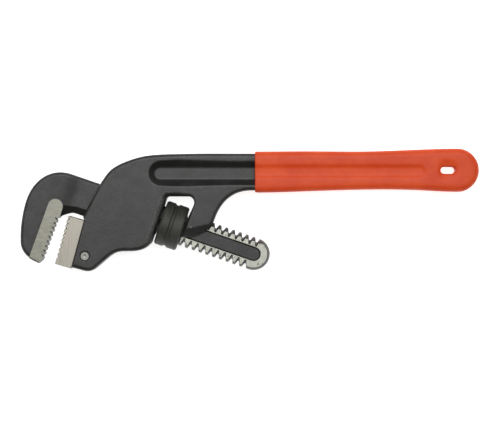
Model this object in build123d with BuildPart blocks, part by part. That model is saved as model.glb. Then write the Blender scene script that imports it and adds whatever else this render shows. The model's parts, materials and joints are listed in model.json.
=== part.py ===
from build123d import *
import os
from math import atan, cos, pi, radians, sin, tan

os.makedirs("parts", exist_ok=True)

# ------------------------------------------------------------------ frame
# The wrench lies on its side: +X along the handle to the grip's end, +Y from the jaws'
# tips to the handle's back, +Z up. The nut's centre is the point everything is drawn from.
NUT_X, NUT_Y, MID_Z = -55.4, -11.2, 16.0
TILT = 19.0  # the shank's axis against the handle's, degrees

# ------------------------------------------------------------------ driving sizes
PITCH = 5.08  # 5 turns per inch
MAJOR_R = 11.55  # shank's thread, outside
ROOT_R = 8.55  # and at the bottom of the groove
CREST = 1.6  # flat on the thread's crest
FLANK = 21.0  # half angle of the thread
FIT = 0.3  # between the nut's thread and the shank's
SLAB = 6.5  # half thickness of shank and neck
THREAD_START, END_CENTRE = -15.0, 61.6  # thread's beginning, centre of the round end
NECK_TOP, NECK_FOOT = 11.4, -14.0

NUT_FRONT, NUT_REAR, NUT_R = -7.9, 8.4, 15.95
RIM_Z = 13.0  # half thickness of housing and lug
CHANNEL = 7.0  # half width of the channel for the shank
ROOF, FLOOR = 13.6, -17.3  # the channel's top and bottom
WEB_HEAD, WEB_NECK = 7.4, 4.0  # half web of the I-section, at the head and at the grip
JAW_Z = 10.0  # half width of both jaws
TOOTH = 3.45  # spacing of the jaws' teeth
TOOTH_DEPTH, GULLET_MID = 1.9, 0.25  # gullets' depth at the jaws' sides and in the middle
PIN_AT, PIN_R = (-50.4, -40.2), 3.3  # heel jaw's pin, in the shank's plane

COIL_U, COIL_FOOT, COIL_R = -29.0, -25.4, 2.9  # coil spring's seat and radius
RIVET_U, RIVET_R = -17.5, 1.5  # flat spring's rivet
LEAF, LEAF_W = 0.9, 10.0  # flat spring's thickness and width
WIRE = 0.55  # coil spring's wire, radius

GRIP_START, GRIP_Z, GRIP_WALL = 59.2, 10.4, 1.5
EYE = (195.6, 39.0)  # hang hole
EYE_LONG, EYE_WIDE = 10.8, 5.0
FORGED_R = 2.4  # rounding of the forgings' rims
GRIP_R = 4.2  # and of the grip's
THROUGH = 20.0  # more than half of any thickness, for cuts that go right through

# Sketch planes: one lying along the handle, one along the shank, both in the mid-plane.
side = Plane(origin=(NUT_X, NUT_Y, MID_Z))
shank = Plane(origin=side.origin, x_dir=(cos(radians(TILT)), -sin(radians(TILT)), 0), z_dir=(0, 0, 1))
nut_axis = Plane(origin=shank.origin, x_dir=shank.y_dir, z_dir=shank.x_dir)


def across(u, v):
    """The plane square to the shank's length, standing at (u, v)."""
    return Plane(origin=shank.from_local_coords((u, v, 0)), x_dir=shank.y_dir, z_dir=shank.x_dir)


def up_from(u, v):
    """The plane whose normal is the shank's +v, at (u, v)."""
    return Plane(origin=shank.from_local_coords((u, v, 0)), x_dir=shank.x_dir, z_dir=shank.y_dir)


# ------------------------------------------------------------------ handle
FRONT_TOP, FRONT_FOOT = (-49.9, 29.6), (-62.1, 6.3)  # housing's machined front edge
SEAT_TOP, SEAT_FOOT = (-61.0, 3.7), (-69.8, -29.6)  # where the heel jaw bears

# (station along the handle, top, bottom) of the grip, up to where its end begins to round
GRIP_LINE = [(62.0, 52.4, 23.25), (95.0, 52.6, 24.1), (140.7, 52.5, 25.4),
             (176.2, 53.8, 24.9), (203.0, 54.45, 23.75)]
GRIP_END, GRIP_MID, CORNER_R = 217.5, 39.1, 12.0


def grip_outline(inset):
    """The grip's top, end and foot, moved inwards by inset; call it inside a BuildLine."""
    top = Spline([(x, t - inset) for x, t, b in GRIP_LINE], tangents=[(1, 0), (1, 0)])
    x, t, b = GRIP_LINE[-1]
    rise, reach = t - GRIP_MID - CORNER_R, GRIP_END - x
    end_r = (reach**2 + rise**2 - CORNER_R**2) / (2 * (reach - CORNER_R))  # touches both corner arcs
    away = Vector(x - (GRIP_END - end_r), rise).normalized()
    meet = Vector(x, GRIP_MID + rise) + away * (CORNER_R - inset)
    corner = TangentArc([top @ 1, meet], tangent=(1, 0))
    end = TangentArc([meet, Vector(meet.X, 2 * GRIP_MID - meet.Y)], tangent=(away.Y, -away.X))
    TangentArc([end @ 1, (x, b + inset)], tangent=(-away.Y, -away.X))
    foot = Spline([(x, b + inset) for x, t, b in reversed(GRIP_LINE)], tangents=[(-1, 0), (-1, 0)])
    return top, foot


with BuildSketch(side.offset(-RIM_Z - 3)) as body_sketch:
    with BuildLine():
        top, foot = grip_outline(GRIP_WALL)
        Line(foot @ 1, (57.0, 24.75))
        lug_back = Spline([(57.0, 24.75), (45.0, 22.3), (37.6, 16.7), (31.0, 5.3), (26.5, -2.1)],
                          tangents=[(-1, 0), (-0.75, -0.66)])
        lug_foot = Spline([lug_back @ 1, (19.0, -6.3), (7.4, -8.0)], tangents=[(-0.75, -0.66), (-1, 0.2)])
        Polyline((7.4, -8.0), (-12.0, -10.5), (-16.0, -14.2))
        nose = Spline([(-16.0, -14.2), (-21.5, -17.3), (-33.0, -18.2), (-43.6, -22.0)],
                      tangents=[(-0.7, -0.7), (-0.78, -0.63)])
        Line(nose @ 1, (-53.0, -30.1))
        Spline([(-53.0, -30.1), (-57.8, -32.2), (-63.5, -31.3)], tangents=[(-0.76, -0.65), (-0.96, 0.27)])
        Polyline((-63.5, -31.3), (-80.0, -26.9), (-80.0, 14.0), (-59.6, 18.9))
        Spline([(-59.6, 18.9), FRONT_TOP, (-43.6, 38.2), (-33.0, 44.7), (-18.8, 49.0), (2.5, 50.5),
                (27.0, 50.9)], tangents=[(0.66, 0.75), (1, 0)])
        Line((27.0, 50.9), top @ 0)
    make_face()

# Half thickness along the handle: full at the housing, drawn down to the neck and the tang.
with BuildPart() as thinner:
    with BuildSketch(Plane(origin=side.origin + Vector(0, 90, 0), x_dir=(1, 0, 0), z_dir=(0, -1, 0))):
        with BuildLine():
            slope = Spline([(0.0, RIM_Z), (22.0, 11.6), (50.0, 9.6), (90.0, 9.0), (240.0, 8.4)],
                           tangents=[(1, 0), (1, 0)])
            Polyline(slope @ 1, (240.0, 30.0), (-90.0, 30.0), (-90.0, RIM_Z), slope @ 0)
        make_face()
    extrude(amount=180)

POCKET_Y, POCKET_W, POCKET_DRAFT = 36.85, 8.9, 39.0  # I-section's hollow: middle, floor, sides' slope

with BuildPart() as head_pocket:  # the I-section's hollow from the head to the grip
    with BuildSketch(side.offset(WEB_HEAD).rotated((0, 2.9, 0))):
        with Locations((30.5, POCKET_Y)):
            SlotOverall(85.0, POCKET_W)
    extrude(amount=14, taper=-POCKET_DRAFT)

with BuildPart() as tang_pocket:  # and on under the grip
    with BuildSketch(side.offset(WEB_NECK)):
        with Locations((124.0, POCKET_Y)):
            SlotOverall(118.0, POCKET_W)
    extrude(amount=8, taper=-POCKET_DRAFT)

WALL_U = -9.1  # window's front wall
CORNER_REAR, CORNER_FRONT = 4.2, 1.8  # its upper corners
RIM_BREAK = 2.4  # depth of the bevel round the window

with BuildPart() as window:  # the opening the nut turns in
    with BuildSketch(shank):
        with BuildLine():
            Polyline((WALL_U, -34), (WALL_U, 18.6), (10.2, 25.2), (10.4, 18.5))
            rear = Spline([(10.4, 18.5), (10.3, 16.8), (9.6, 10.6), (9.3, 1.0), (9.7, -5.5), (10.6, -12.0)],
                          tangents=[(0, -1), (0.15, -1)])
            Polyline(rear @ 1, (10.6, -34), (WALL_U, -34))
        make_face()
        fillet(vertices().sort_by(Axis.Y)[-2:].sort_by(Axis.X)[-1], CORNER_REAR)
        fillet(vertices().sort_by(Axis.Y)[-3:].sort_by(Axis.X)[0], CORNER_FRONT)
    extrude(amount=THROUGH, both=True)

with BuildPart() as window_rim:  # its edge, broken all round
    with BuildSketch(shank.offset(RIM_Z - RIM_BREAK)):
        with BuildLine():
            Polyline((WALL_U, -34), (WALL_U, 18.6), (10.3, 25.2), (9.4, 3.0), (10.4, -12), (10.4, -34),
                     close=True)
        make_face()
        fillet(vertices().sort_by(Axis.Y)[-2:].sort_by(Axis.X)[-1], CORNER_REAR)
    extrude(amount=4, taper=-40)


def forged_rim(part):
    """The rims of the forging's two sides, less the housing's machined front edges."""
    picked = []
    for edge in part.edges():
        p, size = side.to_local_coords(edge.center()), edge.bounding_box().size
        front = p.X < -60.0 and p.Y > -20.0
        inside = -17.0 < p.X < 18.0 and -16.0 < p.Y < 24.0
        if abs(p.Z) > 7.5 and size.X > 0.3 and not front and not inside:
            picked.append(edge)
    return picked


lug_edge = Plane(origin=side.from_local_coords((35.5, 1.9, 0)), x_dir=(0.356, -0.934, 0),
                 z_dir=(-0.934, -0.356, 0))

with BuildPart() as handle:
    add(body_sketch.sketch)
    extrude(amount=2 * RIM_Z + 6)
    add(thinner.part, mode=Mode.SUBTRACT)
    mirror(thinner.part, about=side, mode=Mode.SUBTRACT)
    add(window.part, mode=Mode.SUBTRACT)
    with BuildSketch(side.offset(-THROUGH)):  # the machined front and the heel jaw's seat
        with BuildLine():
            Polyline((-73.0, -41.7), SEAT_TOP, FRONT_FOOT, FRONT_TOP, (-40.2, 47.1), (-95.0, 47.0),
                     (-95.0, -41.7), close=True)
        make_face()
    extrude(amount=2 * THROUGH, mode=Mode.SUBTRACT)
    fillet(forged_rim(handle), FORGED_R)
    with BuildSketch(up_from(0, -20)):  # bevels on the window's front edge
        for z in (1, -1):
            with BuildLine():
                Polyline((WALL_U - 4, 13.2 * z), (WALL_U + 1, 13.2 * z), (WALL_U + 1, 11.4 * z), close=True)
            make_face()
    extrude(amount=38, mode=Mode.SUBTRACT)
    add(window_rim.part, mode=Mode.SUBTRACT)
    mirror(window_rim.part, about=shank, mode=Mode.SUBTRACT)
    with BuildSketch(lug_edge):  # the lug thins towards its lower edge
        for z in (1, -1):
            with BuildLine():
                Polyline((-4.5, 12.6 * z), (2.5, 8.6 * z), (2.5, 16 * z), (-4.5, 16 * z), close=True)
            make_face()
    extrude(amount=34, mode=Mode.SUBTRACT)
    add(head_pocket.part, mode=Mode.SUBTRACT)
    mirror(head_pocket.part, about=side, mode=Mode.SUBTRACT)
    add(tang_pocket.part, mode=Mode.SUBTRACT)
    mirror(tang_pocket.part, about=side, mode=Mode.SUBTRACT)
    with BuildSketch(shank.offset(-CHANNEL)):  # channel for the neck, slot for the heel jaw's tongue
        with BuildLine():
            Polyline((-80, ROOF), (-9, ROOF), (-9, FLOOR), (-44, FLOOR), (-44, -46.5), (-80, -46.5),
                     close=True)
        make_face()
        with BuildLine():  # slot in the lug, open downwards
            Polyline((5, -34), (5, 12.7), (34, 12.7), (34, -34), close=True)
        make_face()
    extrude(amount=2 * CHANNEL, mode=Mode.SUBTRACT)
    with BuildSketch(shank.offset(-THROUGH)):
        with Locations(PIN_AT):
            Circle(PIN_R)
    extrude(amount=2 * THROUGH, mode=Mode.SUBTRACT)
    with BuildSketch(side.offset(-THROUGH)):
        with Locations(EYE):
            SlotOverall(EYE_LONG + 2 * GRIP_WALL, EYE_WIDE + 2 * GRIP_WALL)
    extrude(amount=2 * THROUGH, mode=Mode.SUBTRACT)
    with BuildSketch(up_from(COIL_U, COIL_FOOT)):  # blind hole for the coil spring
        Circle(COIL_R + WIRE + 0.35)
    extrude(amount=12, mode=Mode.SUBTRACT)
    with BuildSketch(up_from(RIVET_U, -30)):
        Circle(RIVET_R)
    extrude(amount=15, mode=Mode.SUBTRACT)
handle.part.label = "handle"
export_step(handle.part, "parts/handle.step")

# ------------------------------------------------------------------ grip
DISH_R, DISH_DEPTH = 22.0, 1.5  # hollow round the hang hole

with BuildPart() as grip:
    with BuildSketch(side.offset(-GRIP_Z)):
        with BuildLine():
            top, foot = grip_outline(0)
            Polyline(foot @ 1, (GRIP_START, 23.25), (GRIP_START, 52.4), top @ 0)
        make_face()
    extrude(amount=2 * GRIP_Z)
    fillet([e for e in grip.edges() if e.bounding_box().size.X > 1], GRIP_R)
    for z in (1, -1):
        lie = Plane(origin=side.origin, z_dir=(0, 0, z))
        with BuildSketch(lie.offset(GRIP_Z - 1.1)):  # shallow trough where the vinyl sinks in
            with Locations((115.0, 38.2 * z)):
                SlotOverall(126.0, 5.5)
        extrude(amount=3, taper=-62, mode=Mode.SUBTRACT)
        with Locations(lie.offset(GRIP_Z + DISH_R - DISH_DEPTH) * Location((EYE[0], EYE[1] * z, 0))):
            Sphere(DISH_R, mode=Mode.SUBTRACT)  # round the hang hole
    with BuildSketch(side.offset(-THROUGH)):
        with Locations(EYE):
            SlotOverall(EYE_LONG, EYE_WIDE)
    extrude(amount=2 * THROUGH, mode=Mode.SUBTRACT)
    add(handle.part, mode=Mode.SUBTRACT)
grip.part.label = "grip"
export_step(grip.part, "parts/grip.step")

# ------------------------------------------------------------------ jaw teeth
def teeth_cutter(top, tip, first, count, metal):
    """The slanting gullets of a jaw's face, shallow in the middle; metal is the side its metal lies, +1 or -1."""
    start, run = Vector(*top), (Vector(*tip) - Vector(*top)).normalized()
    into = Vector(-run.Y, run.X) * metal
    with BuildPart() as cutter:
        for k in range(count):
            mouth = start + run * (first + TOOTH * k)
            for z in (JAW_Z + 1, -JAW_Z - 1):
                for level, depth, reach in ((0, GULLET_MID, 0.6), (z, TOOTH_DEPTH, 1.3)):
                    corners = [mouth - run * 0.9 - into * 0.4, mouth + run * reach - into * 0.4,
                               mouth - run * 0.5 + into * depth, mouth - run * 1.1 + into * depth]
                    with BuildSketch(shank.offset(level)):
                        with BuildLine():
                            Polyline([(c.X, c.Y) for c in corners], close=True)
                        make_face()
                loft(ruled=True)
    return cutter.part


# ------------------------------------------------------------------ hook jaw
lead = atan(PITCH / (pi * (MAJOR_R + ROOT_R)))  # helix angle of the thread
with BuildPart() as groove:  # one groove: half a ring over the shank's edge
    with BuildSketch(Plane.XZ):
        with BuildLine():
            half = (PITCH - CREST) / 2
            r_out, t = MAJOR_R + 1.0, tan(radians(FLANK))
            foot_half = half - (MAJOR_R - ROOT_R) * t
            Polyline((ROOT_R, -foot_half), (r_out, -half - t), (r_out, half + t), (ROOT_R, foot_half),
                     close=True)
        make_face()
    revolve(axis=Axis.Z, revolution_arc=170)
groove_body = groove.part.rotate(Axis.Z, -85)

HOLLOW_START, HOLLOW_W, HOLLOW_DEPTH = -4.0, 8.0, 1.1
UPPER_GROOVES = [40.44 + PITCH * k for k in range(-10, 5)]
LOWER_GROOVES = [37.90 + PITCH * k for k in range(-10, 5)]


def groove_at(u, edge):
    """Where a groove goes: edge +1 is the shank's upper edge, -1 the lower one."""
    lean = shank.x_dir * cos(lead) - shank.z_dir * (edge * sin(lead))
    return Plane(origin=shank.from_local_coords((u, 0, 0)), x_dir=shank.y_dir * edge, z_dir=lean).location


with BuildPart() as threaded:
    with BuildSketch(across(THREAD_START - 1, 0)):
        Circle(MAJOR_R)
    extrude(amount=END_CENTRE - THREAD_START + 1)
    with Locations(shank.from_local_coords((END_CENTRE, 0, 0))):
        Sphere(MAJOR_R)
    with BuildSketch(shank.offset(-SLAB)):
        with Locations((30, 0)):
            Rectangle(120, 40)
    extrude(amount=2 * SLAB, mode=Mode.INTERSECT)
    with Locations([groove_at(u, 1) for u in UPPER_GROOVES] + [groove_at(u, -1) for u in LOWER_GROOVES]):
        add(groove_body, mode=Mode.SUBTRACT)
    for z in (1, -1):  # long hollow in each side
        flat = Plane(origin=shank.origin, x_dir=shank.x_dir, z_dir=(0, 0, z))
        with BuildSketch(flat.offset(SLAB - HOLLOW_DEPTH)):
            with Locations(((END_CENTRE + HOLLOW_START) / 2, 0)):
                SlotOverall(END_CENTRE - HOLLOW_START + HOLLOW_W, HOLLOW_W)
        extrude(amount=2.4, taper=-45, mode=Mode.SUBTRACT)

HEAD_FACE, HEAD_TIP = (-77.4, -21.5), (-78.1, -52.6)  # ends of the hook's toothed face
HOOK_BACK = [(-97.1, 2.2), (-101.6, -7.5), (-102.6, -18.5), (-96.8, -45.7), (-91.2, -52.4), (-84.2, -54.9)]
THROAT_Z, THROAT_SLOPE = 2.4, 50.0  # where the throat's rounding begins, and its slope
HEAD_Z = 9.3  # half thickness of the hook's head, outside the ground boss

with BuildPart() as hook_thinner:  # half thickness of the hook: the neck's, then swelling to the head
    with BuildSketch(up_from(0, -90)):
        with BuildLine():
            swell = Spline([(-69.0, SLAB), (-77.0, 8.0), (-89.0, HEAD_Z)], tangents=[(-1, 0), (-1, 0.05)])
            Polyline(swell @ 1, (-89, 20), (0, 20), (0, SLAB), swell @ 0)
        make_face()
    extrude(amount=140)

hook_teeth = teeth_cutter(HEAD_FACE, HEAD_TIP, 0.6, 9, -1)

with BuildPart() as hook_jaw:
    with BuildSketch(shank.offset(-HEAD_Z)):
        with BuildLine():
            edge = Line((THREAD_START, NECK_TOP), (-79.0, NECK_TOP))
            for point in HOOK_BACK:
                edge = TangentArc([edge @ 1, point], tangent=edge % 1)
            Polyline(edge @ 1, edge @ 1 + (edge % 1) * 4.5, HEAD_TIP, HEAD_FACE)
            throat = Spline([HEAD_FACE, (-75.6, -18.8), (-71.5, -15.7), (-67.0, NECK_FOOT)],
                            tangents=[(0.2, 1), (1, 0.05)])
            Polyline(throat @ 1, (THREAD_START - 2.6, NECK_FOOT), (THREAD_START, -MAJOR_R),
                     (THREAD_START, NECK_TOP))
        make_face()
    extrude(amount=2 * HEAD_Z)
    add(hook_thinner.part, mode=Mode.SUBTRACT)
    mirror(hook_thinner.part, about=shank, mode=Mode.SUBTRACT)
    rims = [(e, shank.to_local_coords(e.center())) for e in hook_jaw.edges()]
    fillet([e for e, at in rims if abs(at.Z) > 6 and (at.X < -90 or at.Y > 8)], FORGED_R)
    for z in (1, -1):  # wide rounding of the throat's edge
        with BuildSketch(Plane(origin=shank.origin, x_dir=shank.x_dir, z_dir=(0, 0, z)).offset(THROAT_Z)):
            with BuildLine():
                arch = ThreePointArc((HEAD_FACE[0], HEAD_FACE[1] * z), (-73.2, -16.8 * z),
                                     (-67.0, NECK_FOOT * z))
                Polyline(arch @ 1, (-50.0, NECK_FOOT * z), (-50.0, -40.0 * z), (HEAD_FACE[0], -40.0 * z),
                         arch @ 0)
            make_face()
        extrude(amount=7, taper=-THROAT_SLOPE, mode=Mode.SUBTRACT)
    add(threaded.part)
    with BuildSketch(shank.offset(-JAW_Z)):  # ground boss that carries the teeth
        with BuildLine():
            round_end = CenterArc((-81.6, -13.8), 5.3, 0, 180)
            Polyline(round_end @ 1, (-87.4, -54.3), (-84.2, -54.9), (-79.7, -55.44), HEAD_TIP, HEAD_FACE,
                     (-76.3, -19.9), round_end @ 0)
        make_face()
    extrude(amount=2 * JAW_Z)
    add(hook_teeth, mode=Mode.SUBTRACT)
hook_jaw.part.label = "hook_jaw"
export_step(hook_jaw.part, "parts/hook_jaw.step")

# ------------------------------------------------------------------ heel jaw and its pin
HEEL_FACE, HEEL_TIP = (-70.9, -17.8), (-68.8, -51.6)
SIDE_PLAY = 0.12  # between the heel jaw's tongue and each cheek
heel_teeth = teeth_cutter(HEEL_FACE, HEEL_TIP, 1.9, 9, 1)

with BuildPart() as heel_jaw:
    with BuildSketch(shank.offset(-JAW_Z)):
        with BuildLine():
            Polyline(HEEL_FACE, (-70.2, -17.1), (-59.0, -16.4), (-56.6, -51.6), (-68.2, -52.2), HEEL_TIP,
                     close=True)
        make_face()
    extrude(amount=2 * JAW_Z)
    chamfer([e for e in heel_jaw.edges() if abs(e.center().Z - MID_Z) > JAW_Z - 0.1
             and shank.to_local_coords(e.center()).X > -69], 0.4)
    add(heel_teeth, mode=Mode.SUBTRACT)
    with BuildSketch(shank.offset(-CHANNEL + SIDE_PLAY)):  # tongue between the housing's cheeks
        with BuildLine():
            Polyline((-62, -19.5), (-46.2, -19.5), (-44.6, -21.5), (-44.6, -44.2), (-46.4, -46.2),
                     (-60, -46.2), close=True)
        make_face()
    extrude(amount=2 * (CHANNEL - SIDE_PLAY))
    with BuildSketch(shank.offset(-THROUGH)):
        with Locations(PIN_AT):
            Circle(PIN_R)
    extrude(amount=2 * THROUGH, mode=Mode.SUBTRACT)
heel_jaw.part.label = "heel_jaw"
export_step(heel_jaw.part, "parts/heel_jaw.step")

PIN_Z = RIM_Z - 0.2  # half length of the pin

with BuildPart() as heel_jaw_pin:
    with BuildSketch(shank.offset(-PIN_Z)):
        with Locations(PIN_AT):
            Circle(PIN_R - 0.04)
    extrude(amount=2 * PIN_Z)
    chamfer(heel_jaw_pin.edges().filter_by(GeomType.CIRCLE), 0.5)
    for z in (1, -1):  # dimple in each end
        with Locations(Location(shank.from_local_coords((*PIN_AT, z * (PIN_Z + 3.8))))):
            Sphere(4.0, mode=Mode.SUBTRACT)
heel_jaw_pin.part.label = "heel_jaw_pin"
export_step(heel_jaw_pin.part, "parts/heel_jaw_pin.step")

# ------------------------------------------------------------------ adjusting nut
# Drawn standing on Z, then laid on the shank's axis. Its two ribs stand RIB_H above the waist.
HELIX_R = (MAJOR_R + ROOT_R) / 2
RIB_H = 0.9

with BuildPart() as thread_space:
    with BuildLine() as coil:
        Helix(pitch=PITCH, height=26, radius=HELIX_R, center=(0, 0, UPPER_GROOVES[0] - PITCH / 2))
    with BuildSketch(Plane(origin=coil.line @ 0, x_dir=(1, 0, 0), z_dir=coil.line % 0)):
        with BuildLine():
            gap = FIT / cos(radians(FLANK))
            outer_r, inner_r = MAJOR_R + FIT, ROOT_R + 0.05
            wide, narrow = [CREST / 2 + (MAJOR_R - r) * t + gap for r in (inner_r, outer_r)]
            near, far = inner_r - HELIX_R, outer_r - HELIX_R
            Polyline((near, -wide), (far, -narrow), (far, narrow), (near, wide), close=True)
        make_face()
    sweep(is_frenet=True)

with BuildPart() as nut_body:
    with BuildSketch(Plane.XZ):
        with BuildLine():
            bore, r = ROOT_R + FIT, NUT_R
            Polyline((bore, NUT_FRONT), (r - 1.0, NUT_FRONT), (r, NUT_FRONT + 1.0), (r, -1.8),
                     (r - RIB_H, -0.9), (r - RIB_H, 0.5), (r, 1.4), (r, NUT_REAR - 0.9), (r - 0.9, NUT_REAR),
                     (bore, NUT_REAR), close=True)
        make_face()
    revolve(axis=Axis.Z)
    add(thread_space.part, mode=Mode.SUBTRACT)

with BuildPart() as adjusting_nut:
    with Locations(nut_axis.location):
        add(nut_body.part)
adjusting_nut.part.label = "adjusting_nut"
export_step(adjusting_nut.part, "parts/adjusting_nut.step")

# ------------------------------------------------------------------ springs and their rivet
leaf_line = [(-31.0, -15.45), (-39.5, -14.15), (-43.2, -14.8)]
with BuildPart() as flat_spring:
    with BuildSketch(shank.offset(-LEAF_W / 2)):
        with BuildLine():
            upper = Line((-13.5, FLOOR + LEAF), (-21.0, FLOOR + LEAF))
            rising = Spline([upper @ 1, *leaf_line], tangents=[(-1, 0), (-1, -0.4)])
            under = Spline([(u, v - LEAF) for u, v in reversed(leaf_line)] + [(-21.0, FLOOR)],
                           tangents=[(1, 0.4), (1, 0)])
            Polyline(rising @ 1, under @ 0)
            Polyline(under @ 1, (-13.5, FLOOR), upper @ 0)
        make_face()
    extrude(amount=LEAF_W)
    with BuildSketch(up_from(RIVET_U, -20)):
        Circle(RIVET_R + 0.05)
    extrude(amount=6, mode=Mode.SUBTRACT)
flat_spring.part.label = "flat_spring"
export_step(flat_spring.part, "parts/flat_spring.step")

with BuildPart() as spring_rivet:
    with BuildSketch(up_from(RIVET_U, -24.0)):
        Circle(RIVET_R - 0.04)
    extrude(amount=24.0 + FLOOR + LEAF + 0.02)
    with BuildSketch(up_from(RIVET_U, FLOOR + LEAF + 0.02)):
        Circle(RIVET_R + 1.0)
    extrude(amount=0.9, taper=30)
spring_rivet.part.label = "spring_rivet"
export_step(spring_rivet.part, "parts/spring_rivet.step")

with BuildPart() as coil_local:
    with BuildLine() as turns:
        Helix(pitch=1.75, height=6.8, radius=COIL_R)
    with BuildSketch(Plane(origin=turns.line @ 0, z_dir=turns.line % 0)):
        Circle(WIRE)
    sweep(is_frenet=True)
with BuildPart() as coil_spring:
    with Locations(up_from(COIL_U, COIL_FOOT + WIRE + 0.05).location):
        add(coil_local.part)
coil_spring.part.label = "coil_spring"
export_step(coil_spring.part, "parts/coil_spring.step")
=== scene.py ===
import json
import math

import bpy
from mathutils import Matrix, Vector


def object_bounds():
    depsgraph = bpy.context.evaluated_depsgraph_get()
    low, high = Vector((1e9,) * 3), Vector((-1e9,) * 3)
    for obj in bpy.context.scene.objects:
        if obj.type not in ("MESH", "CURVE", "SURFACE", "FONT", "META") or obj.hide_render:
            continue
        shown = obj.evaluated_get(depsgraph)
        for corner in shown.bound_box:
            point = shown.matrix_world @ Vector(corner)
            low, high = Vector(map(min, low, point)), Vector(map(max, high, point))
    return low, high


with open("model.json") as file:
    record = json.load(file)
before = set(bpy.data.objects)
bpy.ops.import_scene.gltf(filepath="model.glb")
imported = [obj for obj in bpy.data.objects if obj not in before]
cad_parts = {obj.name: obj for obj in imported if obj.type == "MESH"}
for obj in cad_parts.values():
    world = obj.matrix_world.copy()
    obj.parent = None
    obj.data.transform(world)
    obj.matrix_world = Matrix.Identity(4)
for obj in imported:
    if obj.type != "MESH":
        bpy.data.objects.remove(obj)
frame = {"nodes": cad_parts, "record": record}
cad_low, cad_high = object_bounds()
nodes = frame["nodes"]

# ------------------------------------------------------------------ places, from the frame
nut_joint = next(j for j in frame["record"]["behaviour"]["joints"] if j["name"] == "nut_spin")
NUT = Vector(nut_joint["pos_m"])
ALONG = Vector(nut_joint["axis"])  # the shank's direction, towards its free end
ACROSS = Vector((0, 0, 1)).cross(ALONG)
MM = 0.001
MID_Z = NUT.z
CENTRE = (Vector(cad_low) + Vector(cad_high)) / 2

NOISE_ROUGHNESS = 0.55
SKIN_CELL = 0.5 * MM  # voxels of the forged and dipped pieces' skin
HANDLE_PASSES, GRIP_PASSES = 6, 30
EDGE_WIDTH, EDGE_ANGLE = 0.25 * MM, 32  # the fine bevel, and the degrees from which an edge gets it
FLOOR_GAP = 0.5 * MM


# ------------------------------------------------------------------ material helpers
class Graph:
    """A material's node tree with short ways to add and join nodes."""

    def __init__(self, name):
        self.material = bpy.data.materials.new(name)
        self.material.use_nodes = True
        self.tree = self.material.node_tree
        self.shader = self.tree.nodes["Principled BSDF"]
        coordinates = self.add("ShaderNodeTexCoord")
        self.place = coordinates.outputs["Object"]

    def add(self, kind, **settings):
        node = self.tree.nodes.new(kind)
        for key, value in settings.items():
            setattr(node, key, value)
        return node

    def join(self, value, socket):
        if isinstance(value, bpy.types.NodeSocket):
            self.tree.links.new(value, socket)
        else:
            socket.default_value = value

    def math(self, operation, a, b=0.0, clamp=False):
        node = self.add("ShaderNodeMath", operation=operation, use_clamp=clamp)
        self.join(a, node.inputs[0])
        self.join(b, node.inputs[1])
        return node.outputs[0]

    def ramp(self, value, low, high):
        """0 below low, 1 above high, smooth between them."""
        node = self.add("ShaderNodeMapRange", interpolation_type="SMOOTHSTEP")
        self.join(value, node.inputs["Value"])
        self.join(low, node.inputs["From Min"])
        self.join(high, node.inputs["From Max"])
        return node.outputs["Result"]

    def spread(self, value, low, high, to_low, to_high):
        node = self.add("ShaderNodeMapRange")
        for socket, number in (("From Min", low), ("From Max", high), ("To Min", to_low), ("To Max", to_high)):
            node.inputs[socket].default_value = number
        self.join(value, node.inputs["Value"])
        return node.outputs["Result"]

    def noise(self, scale, detail=3.0, stretch=None):
        where = self.place
        if stretch:
            mapping = self.add("ShaderNodeMapping")
            mapping.inputs["Rotation"].default_value = (0, 0, math.atan2(-ALONG.y, ALONG.x))
            mapping.inputs["Scale"].default_value = stretch
            self.join(where, mapping.inputs["Vector"])
            where = mapping.outputs[0]
        node = self.add("ShaderNodeTexNoise")
        node.inputs["Scale"].default_value = scale
        node.inputs["Detail"].default_value = detail
        node.inputs["Roughness"].default_value = NOISE_ROUGHNESS
        self.join(where, node.inputs["Vector"])
        return node.outputs["Fac"]

    def along(self, direction, origin):
        """Distance from origin along a direction, in metres, fixed to the piece."""
        shift = self.add("ShaderNodeVectorMath", operation="SUBTRACT")
        self.join(self.place, shift.inputs[0])
        shift.inputs[1].default_value = origin
        dot = self.add("ShaderNodeVectorMath", operation="DOT_PRODUCT")
        self.join(shift.outputs[0], dot.inputs[0])
        dot.inputs[1].default_value = direction
        return dot.outputs["Value"]

    def mix(self, factor, a, b):
        node = self.add("ShaderNodeMix", data_type="RGBA")
        self.join(factor, node.inputs["Factor"])
        self.join(a, node.inputs[6])
        self.join(b, node.inputs[7])
        return node.outputs[2]

    def blend(self, factor, a, b):
        """mix for plain numbers."""
        node = self.add("ShaderNodeMix", data_type="FLOAT")
        self.join(factor, node.inputs["Factor"])
        self.join(a, node.inputs[2])
        self.join(b, node.inputs[3])
        return node.outputs[0]

    def bump(self, height, distance, strength, under=None):
        node = self.add("ShaderNodeBump")
        node.inputs["Distance"].default_value = distance
        node.inputs["Strength"].default_value = strength
        self.join(height, node.inputs["Height"])
        if under:
            self.join(under, node.inputs["Normal"])
        return node.outputs[0]

    def set(self, **values):
        """Values or outputs for the shader's own inputs, with _ for each space."""
        for name, value in values.items():
            self.join(value, self.shader.inputs[name.replace("_", " ")])


def rgb(r, g, b):
    return (r, g, b, 1.0)


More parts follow.
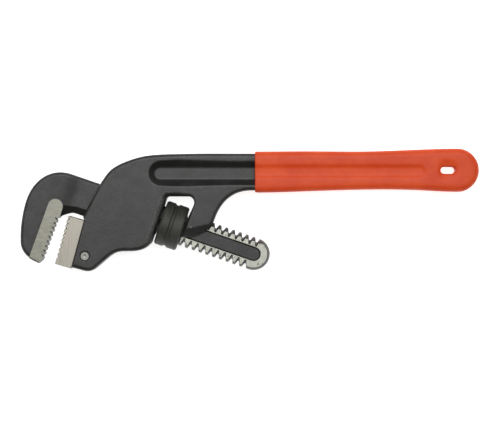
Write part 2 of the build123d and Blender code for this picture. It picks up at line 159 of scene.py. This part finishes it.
# places in the shank's own directions from the nut: u along it, v across it, both in metres
# painted glint on the lug: its place, and the sizes of its soft edge and its core
GLINT_U, GLINT_V = 13.6 * MM, 3.5 * MM
GLINT_EDGE, GLINT_CORE = 1.3 * MM, 0.3 * MM
HIGHLIGHT_BAND_IN = (-13.6 * MM, -12.8 * MM)  # the painted highlight band's two sides, each where it fades
HIGHLIGHT_BAND_OUT = (-10.4 * MM, -10.9 * MM)
HIGHLIGHT_BAND_REACH = (19 * MM, 15 * MM)
BOSS_FACE = (9.82 * MM, 9.95 * MM)  # heights from the middle plane
BOSS_FOOT = (0.7 * MM, 1.0 * MM)
RIM_FACE = (6.3 * MM, 6.45 * MM)
RIM_START = (9 * MM, 10 * MM)
# painted shade: above this height across the shank, the thread keeps the paint colour
SHADED_UPPER_TEETH = (8.8 * MM, 8.2 * MM)
HEEL_SIDE = (9.5 * MM, 9.7 * MM)
HEEL_TEETH = (2.2 * MM, 2.5 * MM)
BOSS_END = -20 * MM  # from here to the nut the boss's dull steel turns into the rims'
FOOT_U, FOOT_V, FOOT_LEAN = -87.4 * MM, -54.3 * MM, 0.149  # a point on the line where the boss's paint starts
HEEL_U, HEEL_V, HEEL_LEAN = -70.9 * MM, -17.8 * MM, 0.062  # a point on the line of the heel jaw's teeth

METAL = 0.85  # metallic value of the jaws' and the pin's bare steel
GRAIN = (0.3, 0.7)  # the part of a noise's range that is used
PAINT = (rgb(0.022, 0.023, 0.021), rgb(0.034, 0.035, 0.033))
STEEL = (rgb(0.30, 0.28, 0.24), rgb(0.42, 0.395, 0.34))


def paint_colour(g):
    return g.mix(g.ramp(g.noise(90), 0.35, 0.7), *PAINT)


def hook_steel(g):
    """Duller on the boss than on the shank's rims."""
    brushed = g.ramp(g.noise(700, stretch=(0.25, 1, 1)), 0.2, 0.8)
    boss = g.mix(brushed, rgb(0.22, 0.215, 0.18), rgb(0.27, 0.265, 0.225))
    rims = g.mix(brushed, rgb(0.36, 0.365, 0.32), rgb(0.44, 0.445, 0.39))
    return g.mix(g.ramp(g.along(ALONG, NUT), BOSS_END, 0.0), boss, rims)


def painted_highlights(g):
    """Painted highlights: a light, patchy band on the bevel in front of the nut where it faces the light, and
    a painted glint on the lug.
    """
    u = g.along(ALONG, NUT)
    reach = g.along(ACROSS, NUT)
    # painted highlight: the bevel in front of the nut is made lighter where it faces the light, broken up by
    # noise
    band = g.math("MULTIPLY", g.ramp(u, *HIGHLIGHT_BAND_IN), g.ramp(u, *HIGHLIGHT_BAND_OUT))
    band = g.math("MULTIPLY", band, g.ramp(g.math("ABSOLUTE", reach), *HIGHLIGHT_BAND_REACH))
    # painted glint: a small light spot on the lug's rounded tip
    glint_u = g.math("ABSOLUTE", g.math("SUBTRACT", u, GLINT_U))
    glint_v = g.math("ABSOLUTE", g.math("SUBTRACT", reach, GLINT_V))
    glint = g.ramp(g.math("ADD", glint_u, glint_v), GLINT_EDGE, GLINT_CORE)
    patchy = g.spread(g.noise(600, 3), 0.35, 0.65, 0.1, 0.45)
    return g.math("MAXIMUM", g.math("MULTIPLY", band, patchy), glint, clamp=True)


def black_paint(name="black_paint", bare=None):
    """Black enamel on a forging; bare(graph) may give a mask where the steel shows."""
    g = Graph(name)
    lumps = g.noise(160, 2)
    grain = g.noise(1400, 4)
    relief = g.math("ADD", g.math("MULTIPLY", lumps, 0.5), g.math("MULTIPLY", grain, 0.2))
    coat = g.bump(relief, 0.0005, 0.45)
    g.set(Normal=coat)
    if not bare:
        # the light grey is painted highlight: a band on the bevel in front of the nut and a glint on the lug
        g.set(Base_Color=g.mix(painted_highlights(g), paint_colour(g), rgb(0.16, 0.16, 0.15)),
              Roughness=g.spread(grain, *GRAIN, 0.34, 0.50))
        return g.material
    mask = bare(g)
    g.set(Base_Color=g.mix(mask, paint_colour(g), hook_steel(g)),
          Roughness=g.blend(mask, g.spread(grain, *GRAIN, 0.34, 0.50), 0.42),
          Metallic=g.math("MULTIPLY", mask, METAL))
    return g.material


def hook_bare(g):
    """Where the hook jaw is ground: the boss, and the shank's flat rims beside the thread."""
    u = g.along(ALONG, NUT)
    height = g.math("ABSOLUTE", g.along((0, 0, 1), NUT))
    foot = g.along(ACROSS + FOOT_LEAN * ALONG, NUT + FOOT_U * ALONG + FOOT_V * ACROSS)
    boss = g.math("MULTIPLY", g.ramp(height, *BOSS_FACE), g.ramp(foot, *BOSS_FOOT))
    lower = g.ramp(g.along(ACROSS, NUT), *SHADED_UPPER_TEETH)  # painted shade: the upper teeth keep the paint's black, standing in for the shade on their up-facing crests
    flat = g.math("MULTIPLY", lower, g.ramp(height, *RIM_FACE))
    shank = g.math("MULTIPLY", g.ramp(u, *RIM_START), flat)
    wear = g.ramp(g.noise(420, 3), 0.30, 0.42)
    return g.math("MAXIMUM", boss, g.math("MULTIPLY", shank, wear), clamp=True)


def ground_steel():
    """The heel jaw: bright ground sides, and the dark oxide left in its gullets."""
    g = Graph("ground_steel")
    scratches = g.noise(900, 3, stretch=(1, 0.08, 1))
    height = g.math("ABSOLUTE", g.along((0, 0, 1), NUT))
    face = g.along(ALONG - HEEL_LEAN * ACROSS, NUT + HEEL_U * ALONG + HEEL_V * ACROSS)
    ground = g.math("MAXIMUM", g.ramp(height, *HEEL_SIDE), g.ramp(face, *HEEL_TEETH))
    g.set(Base_Color=g.mix(ground, rgb(0.035, 0.034, 0.031), g.mix(g.ramp(scratches, *GRAIN), *STEEL)),
          Metallic=g.math("MULTIPLY", ground, METAL),
          Roughness=g.blend(ground, 0.7, g.spread(scratches, *GRAIN, 0.36, 0.52)),
          Normal=g.bump(scratches, 0.0002, 0.3))
    return g.material


def oxide():
    """The nut's dull black oxide."""
    g = Graph("black_oxide")
    grain = g.noise(1100, 4)
    turned = g.noise(500, 2, stretch=(1, 0.15, 0.15))
    g.set(Base_Color=g.mix(g.ramp(turned, 0.35, 0.65), rgb(0.030, 0.031, 0.025), rgb(0.046, 0.047, 0.038)),
          Roughness=g.spread(grain, *GRAIN, 0.52, 0.66), Normal=g.bump(grain, 0.0004, 0.4))
    return g.material


def pin_steel():
    g = Graph("pin_steel")
    specks = g.noise(1500, 3)
    g.set(Base_Color=g.mix(g.ramp(specks, 0.4, 0.65), rgb(0.30, 0.295, 0.27), rgb(0.38, 0.375, 0.345)),
          Metallic=METAL, Roughness=g.spread(specks, *GRAIN, 0.45, 0.6), Normal=g.bump(specks, 0.0001, 0.2))
    return g.material


def spring_steel():
    g = Graph("spring_steel")
    oil = g.noise(500, 3)
    g.set(Base_Color=g.mix(g.ramp(oil, 0.4, 0.6), rgb(0.10, 0.10, 0.11), rgb(0.22, 0.22, 0.23)), Metallic=1.0,
          Roughness=g.spread(oil, *GRAIN, 0.25, 0.4))
    return g.material


def red_vinyl():
    """The grip's dipped vinyl: soft waves, a fine peel and a little light passing under the skin."""
    g = Graph("red_vinyl")
    blotch = g.noise(45, 3)
    peel = g.noise(900, 2)
    waves = g.noise(70, 2)
    relief = g.bump(waves, 0.0015, 0.35, under=g.bump(peel, 0.0002, 0.35))
    g.set(Base_Color=g.mix(g.ramp(blotch, 0.35, 0.65), rgb(0.80, 0.076, 0.014), rgb(0.88, 0.098, 0.020)),
          Roughness=g.spread(peel, *GRAIN, 0.44, 0.56), Normal=relief)
    g.shader.inputs["Specular IOR Level"].default_value = 0.32
    g.shader.inputs["Subsurface Weight"].default_value = 0.06
    g.shader.inputs["Subsurface Radius"].default_value = (0.004, 0.001, 0.0006)
    return g.material


# ------------------------------------------------------------------ pieces
def dress(node, material):
    """Gives a CAD node its finish."""
    piece = nodes[node]
    piece.data.materials.clear()
    piece.data.materials.append(material)
    for face in piece.data.polygons:
        face.use_smooth = True
    return piece


def soften(piece, cell, passes, lengthways=True):
    """Rounds a piece's edges a little, as dies and paint do; lengthways=False keeps its cut end square."""
    remesh = piece.modifiers.new("forged_skin", "REMESH")
    remesh.mode = "VOXEL"
    remesh.voxel_size = cell
    remesh.use_smooth_shade = True
    smooth = piece.modifiers.new("forged_edges", "SMOOTH")
    smooth.iterations = passes
    smooth.use_x = lengthways


def crisp(piece):
    """Smooth shading that keeps sharp edges, with a fine bevel on them."""
    bevel = piece.modifiers.new("edge_break", "BEVEL")
    bevel.width = EDGE_WIDTH
    bevel.segments = 2
    bevel.limit_method = "ANGLE"
    bevel.angle_limit = math.radians(EDGE_ANGLE)
    bevel.harden_normals = True


paint = black_paint()
steel = ground_steel()
springs = spring_steel()

soften(dress("handle", paint), SKIN_CELL, HANDLE_PASSES)
crisp(dress("hook_jaw", black_paint("hook_paint", hook_bare)))
soften(dress("grip", red_vinyl()), SKIN_CELL, GRIP_PASSES, lengthways=False)
crisp(dress("adjusting_nut", oxide()))
crisp(dress("heel_jaw", steel))
crisp(dress("heel_jaw_pin", pin_steel()))
for name in ("flat_spring", "coil_spring", "spring_rivet"):
    dress(name, springs)


# ------------------------------------------------------------------ stage
def studio_floor():
    """A pale table that gives off light, so it reads as a white background."""
    bpy.ops.mesh.primitive_plane_add(size=8, location=(CENTRE.x, CENTRE.y, cad_low[2] - FLOOR_GAP))
    floor = bpy.context.object
    floor.name = "floor"
    g = Graph("floor_paper")
    g.set(Base_Color=g.mix(g.noise(3), rgb(0.90, 0.90, 0.90), rgb(0.93, 0.93, 0.93)), Roughness=0.9,
          Emission_Color=rgb(1, 1, 1), Emission_Strength=0.85)
    floor.data.materials.append(g.material)


def softbox(name, where, size, power):
    """A rectangular area light aimed at the middle of the wrench."""
    data = bpy.data.lights.new(name, "AREA")
    data.shape = "RECTANGLE"
    data.size, data.size_y = size
    data.energy = power
    lamp = bpy.data.objects.new(name, data)
    lamp.location = where
    lamp.rotation_euler = (CENTRE - Vector(where)).to_track_quat("-Z", "Y").to_euler()
    bpy.context.collection.objects.link(lamp)


studio_floor()
softbox("key_above", (0.0, 0.35, 1.1), (1.1, 0.7), 10)
softbox("fill_left", (-0.9, 0.2, 1.0), (0.5, 0.5), 1.0)

world = bpy.data.worlds.new("studio")
world.use_nodes = True
world.node_tree.nodes["Background"].inputs["Color"].default_value = rgb(1, 1, 1)
world.node_tree.nodes["Background"].inputs["Strength"].default_value = 0.08
bpy.context.scene.world = world
bpy.context.scene.view_settings.view_transform = "Standard"

LENS, SENSOR = 200.0, 36.0  # a long lens, looking straight down on the wrench
VIEW_WIDTH = 0.3545  # metres that the picture spans
AIM = (0.0003, -0.0006)
camera_data = bpy.data.cameras.new("camera")
camera_data.lens, camera_data.sensor_width = LENS, SENSOR
camera = bpy.data.objects.new("camera", camera_data)
camera.location = (*AIM, MID_Z + VIEW_WIDTH * LENS / SENSOR)
bpy.context.collection.objects.link(camera)
bpy.context.scene.camera = camera
